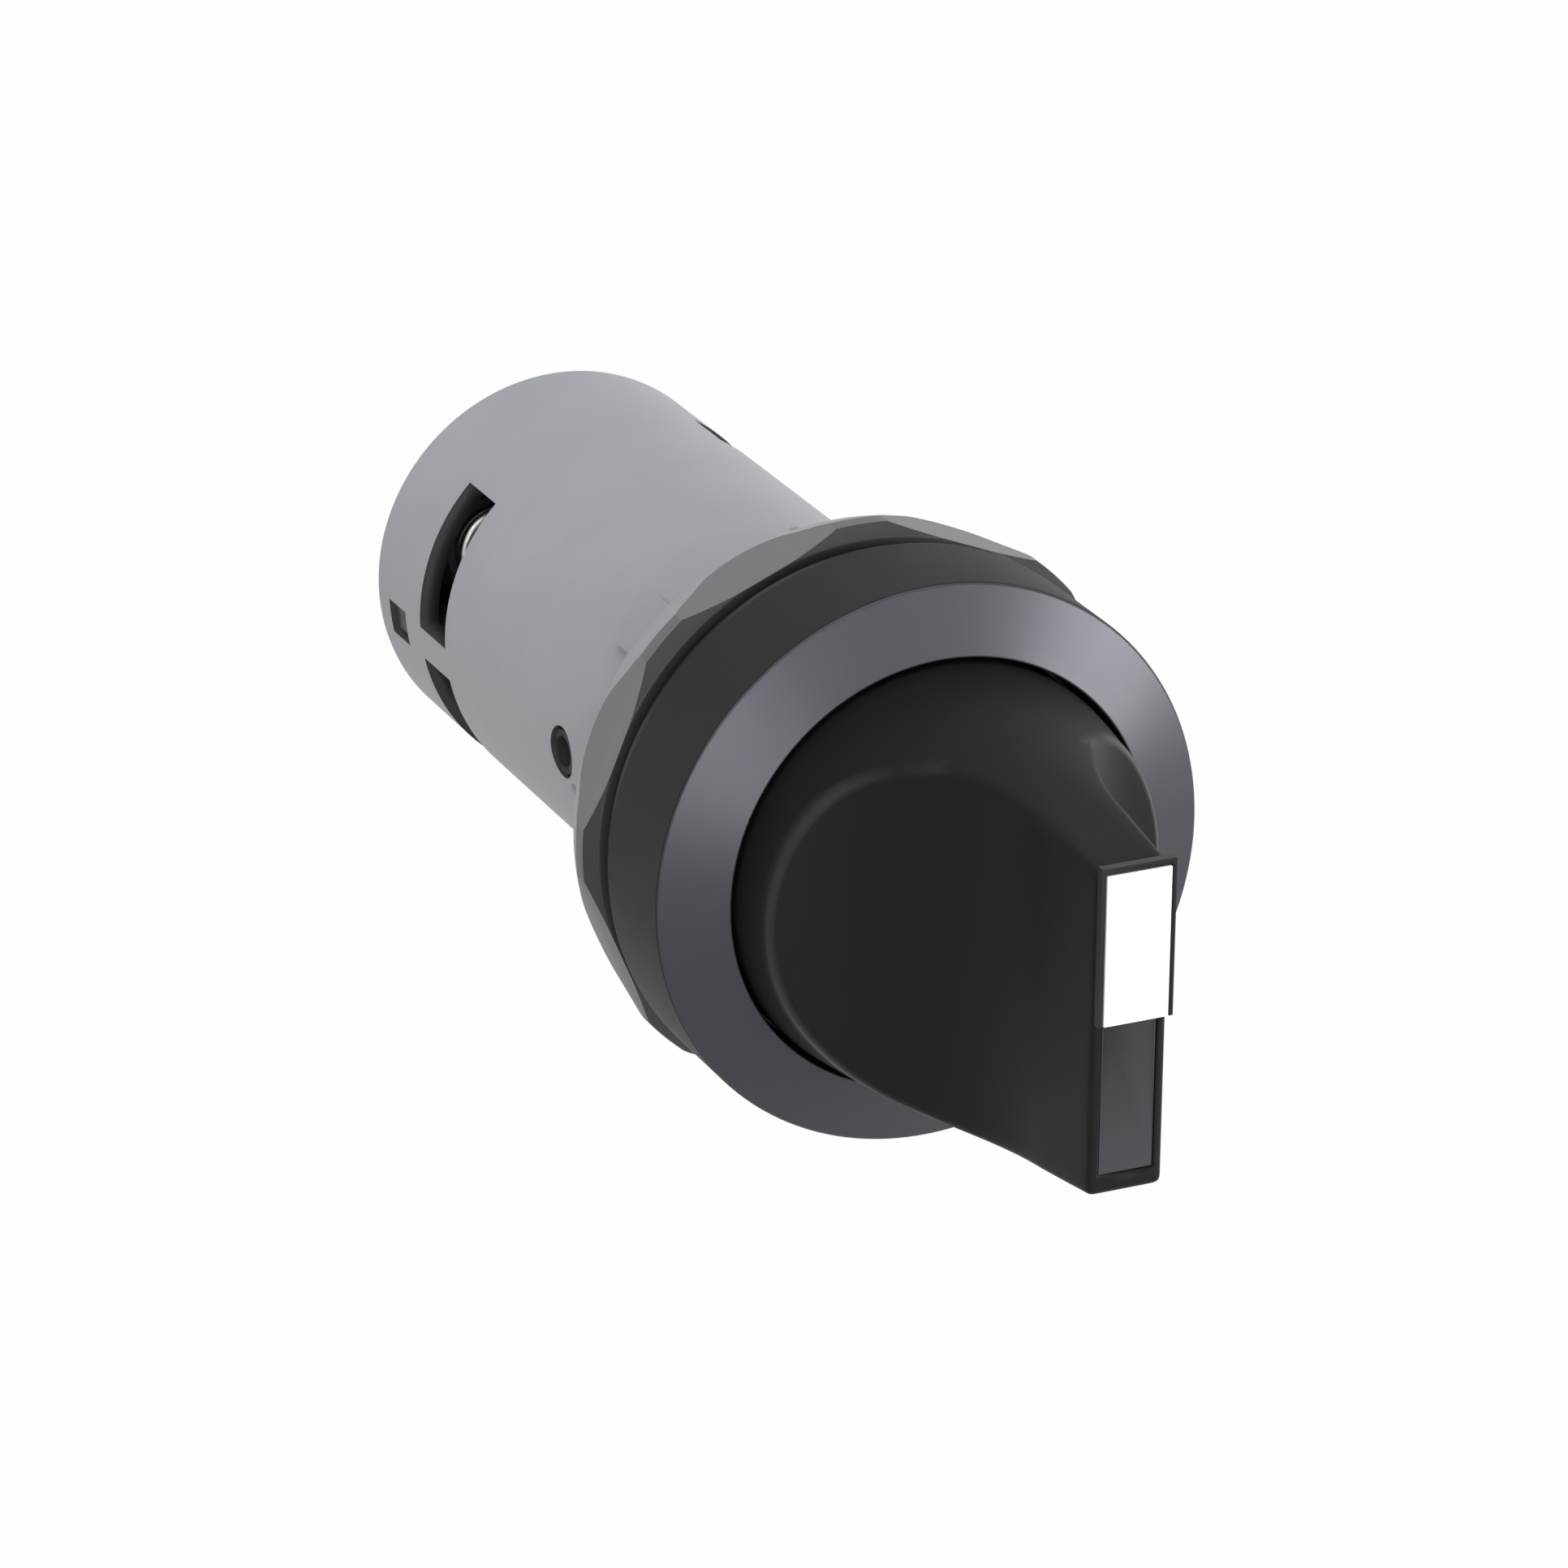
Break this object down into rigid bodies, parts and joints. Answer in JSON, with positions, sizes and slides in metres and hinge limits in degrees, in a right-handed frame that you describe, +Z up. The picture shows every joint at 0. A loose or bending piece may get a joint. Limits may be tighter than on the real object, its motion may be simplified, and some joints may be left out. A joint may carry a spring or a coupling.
{
  "type": "selector switch",
  "caption": "Compact panel selector switch: a bladed turning handle with a light marker in a round black bezel, a flatted fixing nut and a round grey housing with wire slots.",
  "frame": {"origin": "on the switch's axis, in the plane of the bezel's rear rim, which is the front of the panel", "axes": "+Y runs back along the switch's axis from the handle to the housing's rear, +X to the right and +Z up as seen from the front"},
  "size_m": [0.0304, 0.0696, 0.0304],
  "materials": {
    "satin_black_plastic": "satin black moulding",
    "matt_black_plastic": "fine matt black moulding",
    "grey_housing_plastic": "satin mid grey moulding",
    "dark_grey_plastic": "matt dark grey moulding",
    "white_inlay": "smooth white moulding",
    "ivory_nylon": "unpainted nylon",
    "black_rubber": "matt black rubber",
    "brass": "stamped brass strip",
    "plated_steel": "zinc-plated steel",
    "spring_steel": "bright spring steel"
  },
  "bodies": {
    "switch_body": {"bezel": "satin_black_plastic", "panel_gasket": "black_rubber", "handle_seal": "black_rubber", "housing": "grey_housing_plastic", "contact_block": "dark_grey_plastic", "index_spring": "spring_steel", "fixed_contact_1": "brass", "fixed_contact_2": "brass", "fixed_contact_3": "brass", "fixed_contact_4": "brass", "clamp_plate_1": "plated_steel", "clamp_plate_2": "plated_steel", "clamp_plate_3": "plated_steel", "clamp_plate_4": "plated_steel", "terminal_screw_1": "plated_steel", "terminal_screw_2": "plated_steel", "terminal_screw_3": "plated_steel", "terminal_screw_4": "plated_steel", "return_spring_left": "spring_steel", "return_spring_right": "spring_steel"},
    "turning_handle": {"handle": "matt_black_plastic", "marker_frame": "dark_grey_plastic", "marker_inlay": "white_inlay", "rotor": "ivory_nylon", "handle_screw": "plated_steel"},
    "left_plunger": {"plunger_left": "ivory_nylon", "bridge_left": "brass", "contact_spring_left": "spring_steel"},
    "right_plunger": {"plunger_right": "ivory_nylon", "bridge_right": "brass", "contact_spring_right": "spring_steel"},
    "nut": {"fixing_nut": "grey_housing_plastic"}
  },
  "joints": [
    {"name": "selector_turn", "type": "hinge", "parent": "switch_body", "child": "turning_handle", "pos_m": [0, 0, 0], "axis": [0, 1, 0], "range_deg": [-45, 45], "deforming": ["index_spring"]},
    {"name": "left_plunger_slide", "type": "slide", "parent": "switch_body", "child": "left_plunger", "axis": [0, 1, 0], "range_m": [-0.0016, 0.0016], "deforming": ["return_spring_left"]},
    {"name": "right_plunger_slide", "type": "slide", "parent": "switch_body", "child": "right_plunger", "axis": [0, 1, 0], "range_m": [-0.0016, 0.0016], "deforming": ["return_spring_right"]},
    {"name": "nut_travel", "type": "slide", "parent": "switch_body", "child": "nut", "axis": [0, 1, 0], "range_m": [0, 0.005]}
  ],
  "couplings": [
    {"joint": "left_plunger_slide", "follows": "selector_turn", "m_per_rad": -0.0019099},
    {"joint": "right_plunger_slide", "follows": "selector_turn", "m_per_rad": 0.0019099}
  ]
}
